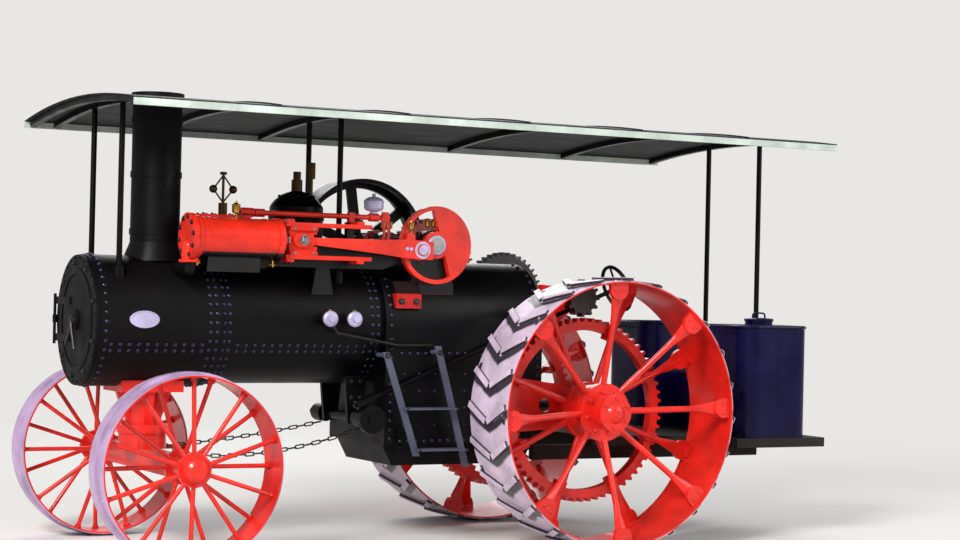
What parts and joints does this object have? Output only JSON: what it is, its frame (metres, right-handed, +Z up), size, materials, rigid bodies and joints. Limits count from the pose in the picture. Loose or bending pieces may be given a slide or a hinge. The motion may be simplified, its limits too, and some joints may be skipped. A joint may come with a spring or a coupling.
{
  "type": "steam traction engine",
  "caption": "Steam traction engine with a horizontal boiler, a side crank engine, spoked steel wheels with lugs, chain steering, rear tanks and a full length canopy.",
  "frame": {"origin": "centre of the bounding box at ground level, under the barrel between the axles", "axes": "+X forward, +Y to the machine's left, +Z up"},
  "size_m": [4.938, 2.12, 2.7],
  "materials": {
    "black_iron": "satin",
    "red_paint": "gloss",
    "steel": "satin",
    "brass": "satin",
    "tank_paint": "gloss",
    "roof_paint": "satin",
    "edge_paint": "satin",
    "chain_steel": "rough"
  },
  "bodies": {
    "chassis": {"boiler_barrel": "black_iron", "firebox": "black_iron", "smokebox": "black_iron", "chimney": "black_iron", "steam_dome": "black_iron", "safety_valve": "brass", "cylinder": "red_paint", "engine_bed": "red_paint", "main_bearings": "red_paint", "valve_gear": "red_paint", "governor": "steel", "steam_pipe": "black_iron", "check_valves": "brass", "gear_train": "red_paint", "countershaft": "steel", "rear_axle": "steel", "axle_brackets": "red_paint", "front_bolster": "red_paint", "steering_roller": "red_paint", "steering_column": "black_iron", "steering_chains": "chain_steel", "step_ladder": "black_iron", "deck": "black_iron", "water_tank": "tank_paint", "coal_bunker": "tank_paint", "tool_box": "tank_paint", "backhead_fittings": "brass", "canopy_roof": "roof_paint", "canopy_edges": "edge_paint", "canopy_frame": "black_iron", "drawbar": "black_iron"},
    "front_axle": {"front_axle": "red_paint"},
    "front_wheel_left": {"front_wheel_left": "red_paint"},
    "front_wheel_right": {"front_wheel_right": "red_paint"},
    "rear_wheel_left": {"rear_wheel_left": "red_paint", "bull_gear_left": "red_paint"},
    "rear_wheel_right": {"rear_wheel_right": "red_paint", "bull_gear_right": "red_paint"},
    "crankshaft": {"crankshaft": "steel", "crank_disc": "red_paint", "flywheel": "red_paint"},
    "crosshead": {"crosshead": "steel"},
    "connecting_rod": {"connecting_rod": "red_paint"},
    "smokebox_door": {"smokebox_door": "black_iron"},
    "fire_door": {"fire_door": "black_iron"}
  },
  "joints": [
    {"name": "front_axle_steer", "type": "hinge", "parent": "chassis", "child": "front_axle", "pos_m": [1.926, 0, 0.69], "axis": [0, 0, 1], "range_deg": [-20, 20], "deforming": ["steering_chains"]},
    {"name": "front_wheel_left_spin", "type": "hinge", "parent": "front_axle", "child": "front_wheel_left", "pos_m": [1.926, 0.773, 0.543], "axis": [0, 1, 0], "continuous": true},
    {"name": "front_wheel_right_spin", "type": "hinge", "parent": "front_axle", "child": "front_wheel_right", "pos_m": [1.926, -0.773, 0.543], "axis": [0, 1, 0], "continuous": true},
    {"name": "rear_wheel_left_spin", "type": "hinge", "parent": "chassis", "child": "rear_wheel_left", "pos_m": [-0.769, 0.8315, 0.838], "axis": [0, 1, 0], "continuous": true},
    {"name": "rear_wheel_right_spin", "type": "hinge", "parent": "chassis", "child": "rear_wheel_right", "pos_m": [-0.769, -0.8315, 0.838], "axis": [0, 1, 0], "continuous": true},
    {"name": "crankshaft_spin", "type": "hinge", "parent": "chassis", "child": "crankshaft", "pos_m": [0.201, 0, 1.848], "axis": [0, 1, 0], "continuous": true},
    {"name": "crosshead_slide", "type": "slide", "parent": "chassis", "child": "crosshead", "axis": [-1, 0, 0], "range_m": [-0.00569, 0.24831]},
    {"name": "connecting_rod_swing", "type": "hinge", "parent": "crosshead", "child": "connecting_rod", "pos_m": [1.12231, 0.44, 1.848], "axis": [0, 1, 0], "range_deg": [-6.63, 11.64]},
    {"name": "smokebox_door_hinge", "type": "hinge", "parent": "chassis", "child": "smokebox_door", "pos_m": [2.356, -0.39, 1.35], "axis": [0, 0, -1], "range_deg": [0, 110]},
    {"name": "fire_door_hinge", "type": "hinge", "parent": "chassis", "child": "fire_door", "pos_m": [-0.591, 0.196, 1.145], "axis": [0, 0, -1], "range_deg": [0, 110]}
  ]
}
